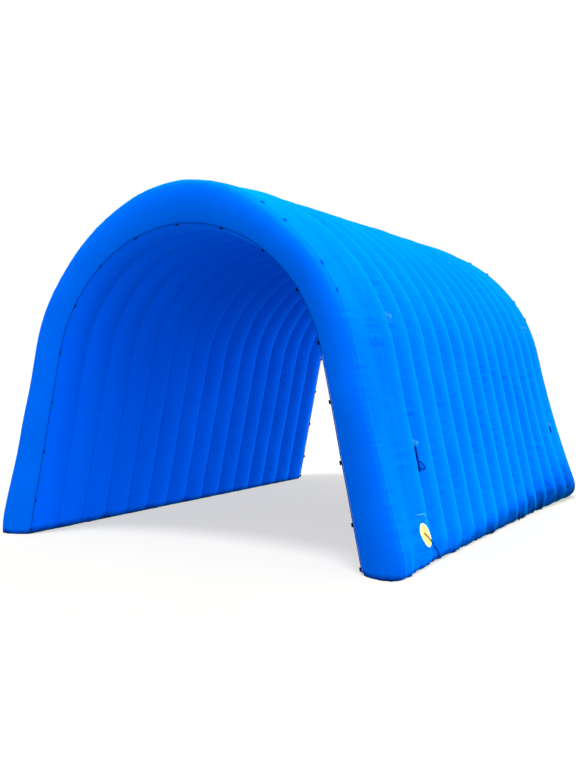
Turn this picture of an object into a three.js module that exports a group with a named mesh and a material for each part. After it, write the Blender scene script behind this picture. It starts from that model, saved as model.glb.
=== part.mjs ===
// Inflatable sports tunnel: ribbed air chambers sewn side by side into a vault on splayed legs.
// Millimetres. +Z is up, +Y runs from the front end to the rear end, +X is to the right seen from
// the front. The origin is on the floor, in the middle of the tunnel.

import * as THREE from 'three';

const { degToRad, lerp, smoothstep } = THREE.MathUtils;

// The vault follows the line of the inner seams: a round arch on two straight splayed legs.
const CHAMBERS = 15;
const CHAMBER_PITCH = 321;
const SEAM_RADIUS = 1325;
const CENTRE_HEIGHT = 1295;
const LEG_SPLAY = degToRad(11.6);

// Wall depth from the inner to the outer seams.
const DEPTH_APEX = 356;
const DEPTH_SPRINGING = 300;
const DEPTH_FOOT = 294;

// How far the inflated skins crown between two seams. The end chambers are flatter outside.
const CROWN_OUTSIDE = 24;
const CROWN_END_CHAMBER = 10;
const CROWN_INSIDE = 36;
const SEAM_GAP = 0.4;

// The skins roll under at the floor and lose their crowns there: from what height, and how far in.
const ROLL_OUTSIDE = { height: 200, inset: 62 };
const ROLL_INSIDE = { height: 40, inset: 8 };
const ROLL_PANEL = { height: 30, inset: 6 };

// Seams near the ends where the outer skin spreads towards the floor, and is tucked back in under it.
const FOOT_SPREAD = { 0: 46, 1: 20, 12: 34, 13: 64, 14: 98, 15: 130 };
const FOOT_TUCK = { 12: 34, 13: 64, 14: 98, 15: 130 };

// The walls are slimmer behind the front panel, from the shoulders on and less towards the floor.
const FRONT_SLIM = 42;
const FRONT_SLIM_REACH = 400;
const FRONT_SLIM_FADE = 1.3;
const SHOULDER_START = 0.15;
const SHOULDER_END = 0.5;

// The crowned end panel runs between the inner and the outer seam of an end chamber.
const OUTER_SEAM_SETBACK = 15;
const PANEL_SWELL_INNER = 98;
const PANEL_RISE_INNER = 80;
const PANEL_SWELL_OUTER = 150;
const PANEL_RISE_OUTER = 18;

// Steps of the solids: along the arch, the legs and the feet, and across the skins and panels.
const ARCH_STEPS = 8;
const LEG_STEPS = 3;
const FOOT_STEPS = 5;
const CROWN_STEPS = 4;
const PANEL_STEPS = 8;
const ROUND_STEPS = 4;

// Seam tapes with folded webbing tabs, along both edges of the end panels.
const TAPE_THICKNESS = 3;
const TAPE_REACH_INNER = 9;
const TAPE_REACH_OUTER = 5;
const TAPE_LEAN_INNER = degToRad(28);
const TAPE_LEAN_OUTER = degToRad(6);
const TAPE_GAP = 0.6;
const TAPE_END_HEIGHT = 16;
const TAB_THICKNESS = 5;
const TAB_LENGTH = 32;
const TAB_REACH_INNER = 24;
const TAB_REACH_OUTER = 14;
const TAB_RAMP = 1;
const TAB_PITCH = 440;
const TAB_SHIFT = -24;
const TABS_EACH_SIDE = 7;
const END_TAB_HEIGHT = 40;
const OUTER_TAB_PLACES = [0.365, 0.478, 0.69, 0.802];

// Anchor tabs in the seams of the outer skin, on both walls.
const ANCHORS = [
  { name: 'front_upper', seam: 2, place: 0.895 },
  { name: 'front_lower', seam: 2, place: 1.458 },
  { name: 'rear_upper', seam: 14, place: 0.866 },
  { name: 'rear_lower', seam: 14, place: 1.491 },
];
const ANCHOR_WIDTH = 44;
const ANCHOR_REACH = 36;
const ANCHOR_THICKNESS = 5;
const ANCHOR_GAP = 4;

// Webbing straps that hang in the seams below the lower right anchors.
const STRAPS = [
  { name: 'front_strap', seam: 2, place: 1.458, drop: 204 },
  { name: 'rear_strap', seam: 14, place: 1.491, drop: 84 },
];
const STRAP_WIDTH = 30;
const STRAP_THICKNESS = 4;
const STRAP_LIFT = 10;
const STRAP_TOP = ANCHOR_WIDTH / 2 + SEAM_GAP;
const STRAP_STEPS = 4;

// Thin cord loop at the end of the front strap: distance along the seam and down from the anchor.
const CORD_RADIUS = 3.5;
const CORD_LIFT = 5;
const CORD_STEPS = 20;
const CORD_LOOP = [
  { aside: 19, drop: 128 },
  { aside: 40, drop: 143 },
  { aside: 60, drop: 158 },
  { aside: 77, drop: 175 },
  { aside: 80, drop: 189 },
  { aside: 64, drop: 194 },
  { aside: 42, drop: 190 },
  { aside: 19, drop: 181 },
];

// Ground tie that runs over the patch and down to the floor, and short straps that hang to the floor.
const TIE_SEAM = 2;
const TIE_WIDTH = 8;
const TIE_THICKNESS = 3;
const TIE_LIFT = 8;
const TIE = [
  { aside: -205, height: 245 },
  { aside: -130, height: 200 },
  { aside: -60, height: 155 },
  { aside: 60, height: 78 },
  { aside: 105, height: 44 },
  { aside: 150, height: 10 },
];
const GROUND_STRAP_SEAM = 9;
const GROUND_STRAP_WIDTH = 30;
const GROUND_STRAP_THICKNESS = 4;
const GROUND_STRAP_TOP = 70;
const GROUND_STRAP_LIFT = 6;

// Oval patch low on the right wall, just ahead of a seam. Its long axis falls towards the rear.
const PATCH_SEAM = 2;
const PATCH_LONG = 112;
const PATCH_SHORT = 68;
const PATCH_TILT = degToRad(38);
const PATCH_THICKNESS = 1.6;
const PATCH_GAP = 1.5;
const PATCH_FROM_SEAM = 160;
const PATCH_HEIGHT = 220;
const PATCH_RINGS = 4;
const PATCH_SIDES = 24;

const CLOTH = { color: 0x0a6cf0, roughness: 0.45, metalness: 0 };
const WEBBING = { color: 0x0b1a4a, roughness: 0.8, metalness: 0 };
const PRINT = { color: 0xf2d24a, roughness: 0.5, metalness: 0 };

const LENGTH = CHAMBERS * CHAMBER_PITCH;
const ARCH_ANGLE = Math.PI / 2 - LEG_SPLAY;
const SPRING_HEIGHT = CENTRE_HEIGHT + SEAM_RADIUS * Math.sin(LEG_SPLAY);
const ARCH_RUN = SEAM_RADIUS * ARCH_ANGLE;
const LEG_RUN = SPRING_HEIGHT / Math.cos(LEG_SPLAY);
const FRONT = -1;
const REAR = 1;
const LEFT = -1;
const RIGHT = 1;

// A place across the vault is 0 at the top of the arch, 1 where a leg starts and 2 on the floor.
// An offset is measured outwards from the line of the inner seams.
const PLACES = stationPlaces();
const STATIONS = [
  ...PLACES.slice(1).reverse().map((place) => ({ side: LEFT, place })),
  ...PLACES.map((place) => ({ side: RIGHT, place })),
];

function placeAtHeight(height) {
  return 2 - height / SPRING_HEIGHT;
}

function heightAtPlace(place) {
  return SPRING_HEIGHT * (2 - place);
}

function placeAtRun(run) {
  const along = Math.abs(run);
  return along < ARCH_RUN ? along / ARCH_RUN : 1 + (along - ARCH_RUN) / LEG_RUN;
}

function runAtPlace(place) {
  return place < 1 ? place * ARCH_RUN : ARCH_RUN + (place - 1) * LEG_RUN;
}

function stationPlaces() {
  const footTop = placeAtHeight(ROLL_OUTSIDE.height);
  const places = [];
  for (let i = 0; i < ARCH_STEPS; i += 1) {
    places.push(i / ARCH_STEPS);
  }
  for (let i = 0; i < LEG_STEPS; i += 1) {
    places.push(lerp(1, footTop, i / LEG_STEPS));
  }
  for (let i = 0; i <= FOOT_STEPS; i += 1) {
    const turn = (Math.PI / 2) * (1 - i / FOOT_STEPS);
    places.push(placeAtHeight(ROLL_OUTSIDE.height * (1 - Math.cos(turn))));
  }
  return places;
}

function seamY(seam) {
  return seam * CHAMBER_PITCH - LENGTH / 2;
}

function frontSlim(place, seam) {
  const leg = Math.max(place - 1, 0);
  const behind = (seam * CHAMBER_PITCH) / FRONT_SLIM_REACH;
  const share = smoothstep(place, SHOULDER_START, SHOULDER_END) * (1 - leg ** FRONT_SLIM_FADE);
  return FRONT_SLIM * share * Math.exp(-behind * behind);
}

function wallDepth(place, seam) {
  const slim = frontSlim(place, seam);
  if (place < 1) {
    return lerp(DEPTH_SPRINGING, DEPTH_APEX, (1 - place) ** 2) - slim;
  }
  const depth = lerp(DEPTH_SPRINGING, DEPTH_FOOT, Math.sin((Math.PI / 2) * (place - 1)));
  return depth + (FOOT_SPREAD[seam] ?? 0) * (place - 1) ** 2 - slim;
}

function rollShare(roll, place) {
  const fall = Math.max(0, 1 - heightAtPlace(place) / roll.height);
  return 1 - Math.sqrt(1 - fall * fall);
}

function crownShare(roll, place) {
  return smoothstep(heightAtPlace(place), 0, roll.height);
}

function innerInset(place) {
  return ROLL_INSIDE.inset * rollShare(ROLL_INSIDE, place);
}

function outerInset(place, seam) {
  return (ROLL_OUTSIDE.inset + (FOOT_TUCK[seam] ?? 0)) * rollShare(ROLL_OUTSIDE, place);
}

function outerLevel(place, seam) {
  return wallDepth(place, seam) - outerInset(place, seam);
}

function outerCrown(place, index) {
  const rise = index === 0 || index === CHAMBERS - 1 ? CROWN_END_CHAMBER : CROWN_OUTSIDE;
  return rise * crownShare(ROLL_OUTSIDE, place);
}

function stationPoint(side, place, y, offset) {
  const radius = SEAM_RADIUS + offset;
  if (place < 1) {
    const angle = Math.PI / 2 - place * ARCH_ANGLE;
    const height = CENTRE_HEIGHT + radius * Math.sin(angle);
    return new THREE.Vector3(side * radius * Math.cos(angle), y, height);
  }
  const height = (CENTRE_HEIGHT + radius * Math.sin(LEG_SPLAY)) * (2 - place);
  const reach = radius + (CENTRE_HEIGHT - height) * Math.sin(LEG_SPLAY);
  return new THREE.Vector3((side * reach) / Math.cos(LEG_SPLAY), y, height);
}

// Between two stations everything runs straight, so trim lies on the flats of the chambers.
function between(place) {
  const next = Math.max(1, PLACES.findIndex((station) => station >= place));
  const from = PLACES[next - 1];
  const to = PLACES[next];
  return { from, to, mix: (place - from) / (to - from) };
}

function onVault(side, place, y, offset) {
  const { from, to, mix } = between(place);
  return stationPoint(side, from, y, offset).lerp(stationPoint(side, to, y, offset), mix);
}

function levelAt(place, seam) {
  const { from, to, mix } = between(place);
  return lerp(outerLevel(from, seam), outerLevel(to, seam), mix);
}

function innerInsetAt(place) {
  const { from, to, mix } = between(place);
  return lerp(innerInset(from), innerInset(to), mix);
}

function outerSkinAt(place, y) {
  const { from, to, mix } = between(place);
  const part = (y + LENGTH / 2) / CHAMBER_PITCH;
  const seam = Math.floor(part);
  const across = part - seam;
  const level = lerp(levelAt(place, seam), levelAt(place, seam + 1), across);
  const rise = lerp(outerCrown(from, seam), outerCrown(to, seam), mix);
  return level + rise * 4 * across * (1 - across);
}

// Joins equal loops of points into one closed solid with flat ends. The outline is a flat drawing of
// a loop, used to fill the ends.
function loft(loops, outline) {
  const count = outline.length;
  const points = loops.flat();
  const faces = [];
  for (let row = 0; row < loops.length - 1; row += 1) {
    for (let i = 0; i < count; i += 1) {
      const a = row * count + i;
      const b = row * count + ((i + 1) % count);
      faces.push([a, b, b + count], [a, b + count, a + count]);
    }
  }
  const last = (loops.length - 1) * count;
  const clockwise = THREE.ShapeUtils.isClockWise(outline);
  for (const face of THREE.ShapeUtils.triangulateShape(outline, [])) {
    const cap = clockwise ? [...face].reverse() : face;
    faces.push([...cap].reverse(), cap.map((i) => i + last));
  }
  const volume = faces.reduce(
    (sum, [a, b, c]) => sum + points[a].dot(points[b].clone().cross(points[c])),
    0,
  );
  const outward = volume < 0 ? faces.map((face) => [...face].reverse()) : faces;
  const geometry = new THREE.BufferGeometry().setFromPoints(points);
  geometry.setIndex(outward.flat());
  geometry.computeVertexNormals();
  return geometry;
}

// Sections are drawn in y and offset. A crown goes from one seam to the next.
function crown(from, to, rise) {
  const points = [];
  for (let i = 0; i <= CROWN_STEPS; i += 1) {
    const across = i / CROWN_STEPS;
    const point = new THREE.Vector2().lerpVectors(from, to, across);
    points.push(point.setY(point.y + rise * 4 * across * (1 - across)));
  }
  return points;
}

// The way out of an end panel turns from inwards over endwards to outwards.
function endPanel(place, seam, end) {
  const depth = wallDepth(place, seam);
  const innerY = seamY(seam);
  const outerY = innerY - end * OUTER_SEAM_SETBACK;
  const curve = new THREE.CubicBezierCurve(
    new THREE.Vector2(innerY, 0),
    new THREE.Vector2(innerY + end * PANEL_SWELL_INNER, PANEL_RISE_INNER),
    new THREE.Vector2(outerY + end * PANEL_SWELL_OUTER, depth - PANEL_RISE_OUTER),
    new THREE.Vector2(outerY, depth),
  );
  const endward = end * ROLL_PANEL.inset * rollShare(ROLL_PANEL, place);
  const points = curve.getPoints(PANEL_STEPS).map((point, i) => {
    const turn = (Math.PI * i) / PANEL_STEPS;
    const inset = turn < Math.PI / 2 ? innerInset(place) : outerInset(place, seam);
    return new THREE.Vector2(point.x - endward * Math.sin(turn), point.y + inset * Math.cos(turn));
  });
  return points.slice(1, -1);
}

function chamberSection(index, place) {
  const first = index === 0;
  const last = index === CHAMBERS - 1;
  const innerFront = seamY(index) + (first ? 0 : SEAM_GAP / 2);
  const innerRear = seamY(index + 1) - (last ? 0 : SEAM_GAP / 2);
  const outerFront = innerFront + (first ? OUTER_SEAM_SETBACK : 0);
  const outerRear = innerRear - (last ? OUTER_SEAM_SETBACK : 0);
  return [
    ...crown(
      new THREE.Vector2(innerFront, innerInset(place)),
      new THREE.Vector2(innerRear, innerInset(place)),
      -CROWN_INSIDE * crownShare(ROLL_INSIDE, place),
    ),
    ...(last ? endPanel(place, CHAMBERS, REAR) : []),
    ...crown(
      new THREE.Vector2(outerRear, outerLevel(place, index + 1)),
      new THREE.Vector2(outerFront, outerLevel(place, index)),
      outerCrown(place, index),
    ),
    ...(first ? endPanel(place, 0, FRONT).reverse() : []),
  ];
}

function chamber(index) {
  const loops = STATIONS.map(({ side, place }) => (
    chamberSection(index, place).map((point) => stationPoint(side, place, point.x, point.y))
  ));
  return loft(loops, chamberSection(index, STATIONS[0].place));
}

// A flat band along the vault. Each row has a place, a y and an offset for its middle.
function band(side, rows, width, thickness) {
  const outline = [[-1, -1], [1, -1], [1, 1], [-1, 1]].map(
    ([across, up]) => new THREE.Vector2((across * width) / 2, (up * thickness) / 2),
  );
  const loops = rows.map(({ place, y, offset }) => (
    outline.map((corner) => onVault(side, place, y + corner.x, offset + corner.y))
  ));
  return loft(loops, outline);
}

// Runs along a tape from the left foot to the right: the stations of the vault and the four edges of
// every tab.
function tapeRows(tabRuns, reach, tabReach) {
  const end = runAtPlace(placeAtHeight(TAPE_END_HEIGHT));
  const half = TAB_LENGTH / 2;
  const plain = { reach, thickness: TAPE_THICKNESS };
  const tabbed = { reach: tabReach, thickness: TAB_THICKNESS };
  const rows = [-end, end].map((run) => ({ run, ...plain }));
  for (const { side, place } of STATIONS) {
    const run = side * runAtPlace(place);
    const fromEdge = Math.min(...tabRuns.map((tab) => Math.abs(tab - run))) - half;
    const clear = fromEdge < -TAB_RAMP || fromEdge > 2 * TAB_RAMP;
    if (clear && Math.abs(run) < end - TAB_RAMP) {
      rows.push({ run, ...(fromEdge < 0 ? tabbed : plain) });
    }
  }
  for (const tab of tabRuns) {
    for (const edge of [-1, 1]) {
      rows.push({ run: tab + edge * (half + TAB_RAMP), ...plain });
      rows.push({ run: tab + edge * half, ...tabbed });
    }
  }
  return rows.sort((a, b) => a.run - b.run);
}

function seamTape(end, outside, tabRuns) {
  const seam = end === FRONT ? 0 : CHAMBERS;
  const y = seamY(seam) - (outside ? end * OUTER_SEAM_SETBACK : 0);
  const lean = outside ? TAPE_LEAN_OUTER : TAPE_LEAN_INNER;
  const facing = outside ? 1 : -1;
  const away = new THREE.Vector2(end * Math.sin(lean), facing * Math.cos(lean));
  const across = new THREE.Vector2(-away.y, away.x);
  const rows = outside
    ? tapeRows(tabRuns, TAPE_REACH_OUTER, TAB_REACH_OUTER)
    : tapeRows(tabRuns, TAPE_REACH_INNER, TAB_REACH_INNER);
  const loops = rows.map((row) => {
    const side = Math.sign(row.run) || RIGHT;
    const place = placeAtRun(row.run);
    const root = outside ? levelAt(place, seam) : innerInsetAt(place);
    return [[-1, TAPE_GAP], [1, TAPE_GAP], [1, row.reach], [-1, row.reach]].map(([edge, reach]) => {
      const corner = new THREE.Vector2(y, root)
        .addScaledVector(away, reach)
        .addScaledVector(across, (edge * row.thickness) / 2);
      return onVault(side, place, corner.x, corner.y);
    });
  });
  const outline = [[0, 0], [1, 0], [1, 1], [0, 1]].map(([x, up]) => new THREE.Vector2(x, up));
  return loft(loops, outline);
}

function innerTabRuns() {
  const endRun = runAtPlace(placeAtHeight(END_TAB_HEIGHT));
  const runs = [-endRun, endRun];
  for (let i = -TABS_EACH_SIDE; i <= TABS_EACH_SIDE; i += 1) {
    runs.push(i * TAB_PITCH + TAB_SHIFT);
  }
  return runs;
}

function outerTabRuns() {
  return OUTER_TAB_PLACES.map((place) => runAtPlace(place));
}

// A flat tongue with a round end that stands out of a seam.
function anchorTab(side, { seam, place }) {
  const half = ANCHOR_WIDTH / 2;
  const straight = ANCHOR_REACH - half;
  const shape = new THREE.Shape();
  shape.moveTo(0, -half);
  shape.lineTo(straight, -half);
  shape.absarc(straight, 0, half, -Math.PI / 2, Math.PI / 2, false);
  shape.lineTo(0, half);
  const settings = { depth: ANCHOR_THICKNESS, bevelEnabled: false, curveSegments: ROUND_STEPS };
  const geometry = new THREE.ExtrudeGeometry(shape, settings);
  geometry.translate(0, 0, -ANCHOR_THICKNESS / 2);
  const level = levelAt(place, seam);
  const root = onVault(side, place, seamY(seam), level + ANCHOR_GAP);
  const away = onVault(side, place, seamY(seam), level + ANCHOR_REACH).sub(root).normalize();
  const along = new THREE.Vector3(0, 1, 0).cross(away);
  const frame = new THREE.Matrix4().makeBasis(away, along, away.clone().cross(along));
  return geometry.applyMatrix4(frame.setPosition(root));
}

function hangingStrap({ seam, place, drop }) {
  const rows = [];
  for (let i = 0; i <= STRAP_STEPS; i += 1) {
    const rowPlace = place + lerp(STRAP_TOP, drop, i / STRAP_STEPS) / LEG_RUN;
    rows.push({ place: rowPlace, y: seamY(seam), offset: levelAt(rowPlace, seam) + STRAP_LIFT });
  }
  return band(RIGHT, rows, STRAP_WIDTH, STRAP_THICKNESS);
}

function cordLoop({ seam, place }) {
  const points = CORD_LOOP.map(({ aside, drop }) => {
    const y = seamY(seam) + aside;
    const pointPlace = place + drop / LEG_RUN;
    return onVault(RIGHT, pointPlace, y, outerSkinAt(pointPlace, y) + CORD_LIFT);
  });
  const path = new THREE.CatmullRomCurve3(points);
  const shape = new THREE.Shape().absarc(0, 0, CORD_RADIUS, 0, 2 * Math.PI, false);
  return new THREE.ExtrudeGeometry(shape, {
    steps: CORD_STEPS,
    curveSegments: ROUND_STEPS,
    extrudePath: path,
    bevelEnabled: false,
  });
}

function groundTie() {
  const rows = TIE.map(({ aside, height }) => {
    const y = seamY(TIE_SEAM) + aside;
    const place = placeAtHeight(height);
    return { place, y, offset: outerSkinAt(place, y) + TIE_LIFT };
  });
  return band(RIGHT, rows, TIE_WIDTH, TIE_THICKNESS);
}

function groundStrap(side) {
  const y = seamY(GROUND_STRAP_SEAM);
  const place = placeAtHeight(GROUND_STRAP_TOP);
  const x = onVault(side, place, y, levelAt(place, GROUND_STRAP_SEAM) + GROUND_STRAP_LIFT).x;
  const height = GROUND_STRAP_TOP - SEAM_GAP;
  const geometry = new THREE.BoxGeometry(GROUND_STRAP_THICKNESS, GROUND_STRAP_WIDTH, height);
  return geometry.translate(x, y, SEAM_GAP + height / 2);
}

// A thin round disc, stretched to the oval and laid over the crown of its chamber.
function ovalPatch() {
  const profile = [new THREE.Vector2(0, 0)];
  for (let i = 1; i <= PATCH_RINGS; i += 1) {
    profile.push(new THREE.Vector2(i / PATCH_RINGS, 0));
  }
  const top = profile.map((point) => new THREE.Vector2(point.x, PATCH_THICKNESS)).reverse();
  const geometry = new THREE.LatheGeometry([...profile, ...top], PATCH_SIDES);
  const centreY = seamY(PATCH_SEAM) - PATCH_FROM_SEAM;
  const points = geometry.getAttribute('position');
  for (let i = 0; i < points.count; i += 1) {
    const long = PATCH_LONG * points.getX(i);
    const short = -PATCH_SHORT * points.getZ(i);
    const y = centreY + long * Math.cos(PATCH_TILT) + short * Math.sin(PATCH_TILT);
    const height = PATCH_HEIGHT - long * Math.sin(PATCH_TILT) + short * Math.cos(PATCH_TILT);
    const place = placeAtHeight(height);
    const lift = PATCH_GAP + points.getY(i);
    const laid = onVault(RIGHT, place, y, outerSkinAt(place, y) + lift);
    points.setXYZ(i, laid.x, laid.y, laid.z);
  }
  geometry.computeVertexNormals();
  return geometry;
}

const tunnel = new THREE.Group();

function add(name, geometry, finish) {
  const mesh = new THREE.Mesh(geometry, new THREE.MeshStandardMaterial(finish));
  mesh.name = name;
  tunnel.add(mesh);
}

for (let index = 0; index < CHAMBERS; index += 1) {
  add(`chamber_${String(index + 1).padStart(2, '0')}`, chamber(index), CLOTH);
}
for (const [name, end] of [['front', FRONT], ['rear', REAR]]) {
  add(`${name}_inner_tape`, seamTape(end, false, innerTabRuns()), WEBBING);
  add(`${name}_outer_tape`, seamTape(end, true, outerTabRuns()), WEBBING);
}
for (const [name, side] of [['right', RIGHT], ['left', LEFT]]) {
  for (const anchor of ANCHORS) {
    add(`${anchor.name}_tab_${name}`, anchorTab(side, anchor), CLOTH);
  }
  add(`ground_strap_${name}`, groundStrap(side), WEBBING);
}
for (const strap of STRAPS) {
  add(strap.name, hangingStrap(strap), WEBBING);
}
add('front_strap_loop', cordLoop(STRAPS[0]), WEBBING);
add('ground_tie', groundTie(), WEBBING);
add('oval_patch', ovalPatch(), PRINT);

export default tunnel;
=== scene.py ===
"""Inflatable sports tunnel: the sewn cloth, its webbing, a pale floor, soft light and the camera."""
import math

import bpy
import numpy as np
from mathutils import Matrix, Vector


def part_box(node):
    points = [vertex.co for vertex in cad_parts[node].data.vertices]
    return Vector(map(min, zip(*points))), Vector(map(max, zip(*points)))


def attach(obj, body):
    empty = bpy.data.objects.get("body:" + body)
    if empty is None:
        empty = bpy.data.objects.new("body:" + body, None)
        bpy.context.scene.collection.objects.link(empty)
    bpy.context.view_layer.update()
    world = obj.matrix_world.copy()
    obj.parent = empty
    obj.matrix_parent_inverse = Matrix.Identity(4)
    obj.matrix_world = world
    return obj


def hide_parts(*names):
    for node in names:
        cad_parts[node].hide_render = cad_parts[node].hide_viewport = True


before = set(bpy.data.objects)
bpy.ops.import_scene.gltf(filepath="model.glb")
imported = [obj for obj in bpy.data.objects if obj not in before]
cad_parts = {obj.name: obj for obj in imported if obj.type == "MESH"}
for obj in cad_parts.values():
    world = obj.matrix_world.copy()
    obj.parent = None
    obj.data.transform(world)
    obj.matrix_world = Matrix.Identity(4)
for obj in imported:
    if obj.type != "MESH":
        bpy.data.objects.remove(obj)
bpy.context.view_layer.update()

# Driving sizes of the vault, in metres, as in the part's source.
CHAMBERS = 15
PITCH = 0.321
SEAM_RADIUS = 1.325
CENTRE_HEIGHT = 1.295
SPLAY = math.radians(11.6)
DEPTH_APEX = 0.356
DEPTH_SPRINGING = 0.300
DEPTH_FOOT = 0.294
CROWN_OUTSIDE = 0.024
CROWN_END_CHAMBER = 0.010
CROWN_INSIDE = 0.036
SEAM_GAP = 0.0004
OUTER_SETBACK = 0.015

# The rolls at the floor: from what height, and how far in.
ROLL_OUTSIDE = (0.200, 0.062)
ROLL_INSIDE = (0.040, 0.008)
ROLL_PANEL = (0.030, 0.006)

# How far the outer skin spreads towards the floor at each seam, and is tucked back in under it.
SPREAD = np.zeros(CHAMBERS + 1)
SPREAD[[0, 1, 12, 13, 14, 15]] = (0.046, 0.020, 0.034, 0.064, 0.098, 0.130)
TUCK = np.where(np.arange(CHAMBERS + 1) < 2, 0.0, SPREAD)

# The walls are slimmer behind the front panel, from the shoulders on and less towards the floor.
FRONT_SLIM = 0.042
FRONT_SLIM_REACH = 0.40
FRONT_SLIM_FADE = 1.3
SHOULDER_START = 0.15
SHOULDER_END = 0.5

# The curve of an end panel beside its inner and its outer seam: how far it swells and rises.
PANEL_INNER = (0.098, 0.080)
PANEL_OUTER = (0.150, 0.018)
PANEL_CLOTH_WIDTH = 0.44

# Seam tapes and their tabs. They stand out a little less than in the part's source.
TAPE_LEAN = {"inner": math.radians(28), "outer": math.radians(6)}
TAPE_REACH = {"inner": 0.008, "outer": 0.0018}
TAPE_ROOT = 0.0006
TAPE_SHOULDER = 0.75
TAPE_HALF_THICKNESS = {"root": 0.0020, "shoulder": 0.0018, "tip": 0.0009}
TAPE_END_HEIGHT = 0.016
TAPE_END_ROOM = 0.002
TAPE_OFF_SEAM = 0.020
TAB_LENGTH = 0.030
TAB_REACH = {"inner": 0.022, "outer": 0.011}
TAB_PITCH = 0.440
TAB_SHIFT = -0.024
TABS_EACH_SIDE = 7
END_TAB_HEIGHT = 0.040
OUTER_TAB_PLACES = (0.365, 0.478, 0.69, 0.802)

# Anchor tabs: the seam and the place of each. Then their outline and the pale stitches beside them.
ANCHORS = {
    "front_upper": (2, 0.895),
    "front_lower": (2, 1.458),
    "rear_upper": (14, 0.866),
    "rear_lower": (14, 1.491),
}
ANCHOR_ROOT = 0.0045
ANCHOR_TIP = 0.0395
ANCHOR_REACH = np.array([0.0, 0.006, 0.012, 0.018, 0.024, 0.029, 0.0325, 0.0345])
ANCHOR_HALF_WIDTH = np.array([0.0215, 0.0217, 0.0219, 0.0215, 0.0195, 0.0155, 0.0090, 0.0030])
ANCHOR_THICKNESS = 0.0046
ANCHOR_BEND = 0.003
ANCHOR_OFF_SEAM = 0.004
ANCHOR_STITCH_ASIDE = 0.016
ANCHOR_STITCH_HALF = 0.034

# Straps: how far each centre lies below its anchor, and for the front one how far aside.
STRAP_WIDTH = 0.030
STRAP_THICKNESS = 0.004
STRAP_LIFT = 0.010
FRONT_STRAP_DROPS = (0.0224, 0.068, 0.113, 0.159, 0.204)
FRONT_STRAP_SWAY = (0, 0.001, 0, -0.001, 0)
REAR_STRAP_DROPS = (0.0224, 0.044, 0.064, 0.084)
GROUND_STRAP_STEPS = (0, 0.35, 0.7, 1)
GROUND_STRAP_SWAY = 0.0015
GROUND_STRAP_TURN = 3

# The cord loop: aside from the strap's seam and down from its anchor.
LOOP = [(0.019, 0.128), (0.040, 0.143), (0.060, 0.158), (0.077, 0.175),
        (0.080, 0.189), (0.064, 0.194), (0.042, 0.190), (0.019, 0.181)]
LOOP_RADIUS = 0.0035
LOOP_LIFT = 0.005
LOOP_ROWS = 60
LOOP_SIDES = 10

# The ground tie, the patch and the corner of stitches over it lie around one seam of the right wall.
# The tie and the stitches give their distance from the seam and their height.
PATCH_SEAM = 2
TIE = [(-0.205, 0.245), (-0.130, 0.200), (-0.060, 0.155), (0.060, 0.078), (0.105, 0.044), (0.150, 0.010)]
TIE_WIDTH = 0.008
TIE_THICKNESS = 0.003
TIE_LIFT = 0.008
CORNER_STITCHES = [(-0.255, 0.371), (-0.114, 0.361), (-0.111, 0.290)]
PATCH_LONG = 0.112
PATCH_SHORT = 0.068
PATCH_TILT = math.radians(38)
PATCH_ASIDE = -0.160
PATCH_HEIGHT = 0.220
PATCH_LIFTS = (0.0015, 0.0023, 0.0031)
PATCH_RING_SPAN = (0.02, 0.99)
PATCH_RINGS = 12
PATCH_SIDES = 64

# Zigzag stitching.
ZIGZAG_WIDTH = 0.008
ZIGZAG_PITCH = 0.0055
THREAD_RADIUS = 0.0010
THREAD_LIFT = 0.0004
THREAD_SIDES = 6
THREAD_STEP = 0.004

# Steps of the meshes, and from what angle the edges of each kind of piece are sharp.
ARCH_STEPS = 150
LEG_STEPS = 124
FOOT_STEPS = 28
SKIN_STEPS = {"inner": 12, "outer": 16}
PANEL_STEPS = 30
COARSE_ROWS = 24
CURVE_STEPS = 24
BAND_ROWS_EACH = 4
SHARP = {"cloth": 32.0, "tape": 40.0, "tab": 45.0, "band": 50.0, "cord": 60.0}

# Unevenness of the cloth: its height, then the shortest and the longest wave.
SEAM_WANDER = 0.0022
WANDER_WAVES = (0.35, 1.1)
PUCKER_SIZE = {"inner": 0.0022, "outer": 0.0028, "panel": 0.0022}
PUCKER_REACH = 0.026
PUCKER_SHARE = 0.8
PUCKER_WAVES = (0.07, 0.16)
FINE_PUCKER_SHARE = 0.45
FINE_PUCKER_WAVES = (0.032, 0.06)
PUCKER_STRENGTH = 0.55
PUCKER_STRENGTH_UNEVEN = 0.5
PUCKER_STRENGTH_LIMITS = (0.1, 1.4)
PUCKER_STRENGTH_WAVES = (0.3, 0.9)
SWELL = 0.0036
SWELL_WAVES = (0.5, 1.6)
PANEL_SWELL = 0.004
PANEL_SWELL_WAVES = (0.5, 1.5)
TAPE_WAVE = 0.0012
TAPE_WAVES = (0.04, 0.12)

# Near the floor the skins bulge and crumple. The bulge outside differs from chamber to chamber.
CRUMPLE_HEIGHT = 0.075
CRUMPLE = 0.007
CRUMPLE_WAVES = (0.07, 0.20)
PANEL_CRUMPLE = 0.004
PANEL_CRUMPLE_WAVES = (0.06, 0.16)
FOOT_BULGE = {"inner": 0.004, "outer": 0.016}
FOOT_BULGE_UNEVEN = 0.008
FOOT_BULGE_TURN = 2.3

# Outer seams that show less: the painted shade and dirt of their fold start further off, and one is half
# filled.
OUTER_CALM = np.zeros(CHAMBERS + 1)
OUTER_CALM[[0, 1, CHAMBERS]] = (0.014, 0.006, 0.014)
SOFT_SEAM = 1
SOFT_SEAM_FILL = 0.5
SOFT_SEAM_REACH = 0.055

# How high the shade at the floor reaches. Outside it is a little higher in front and grows to the rear.
SHADE_OUTSIDE = 0.022
SHADE_FRONT = 0.016
SHADE_FRONT_REACH = 0.25
SHADE_REAR = 0.370
SHADE_REAR_POWER = 1.5
SHADE_INSIDE = 0.064
SHADE_INSIDE_LOSS = 0.022
NO_SHADE = 2.0

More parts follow.
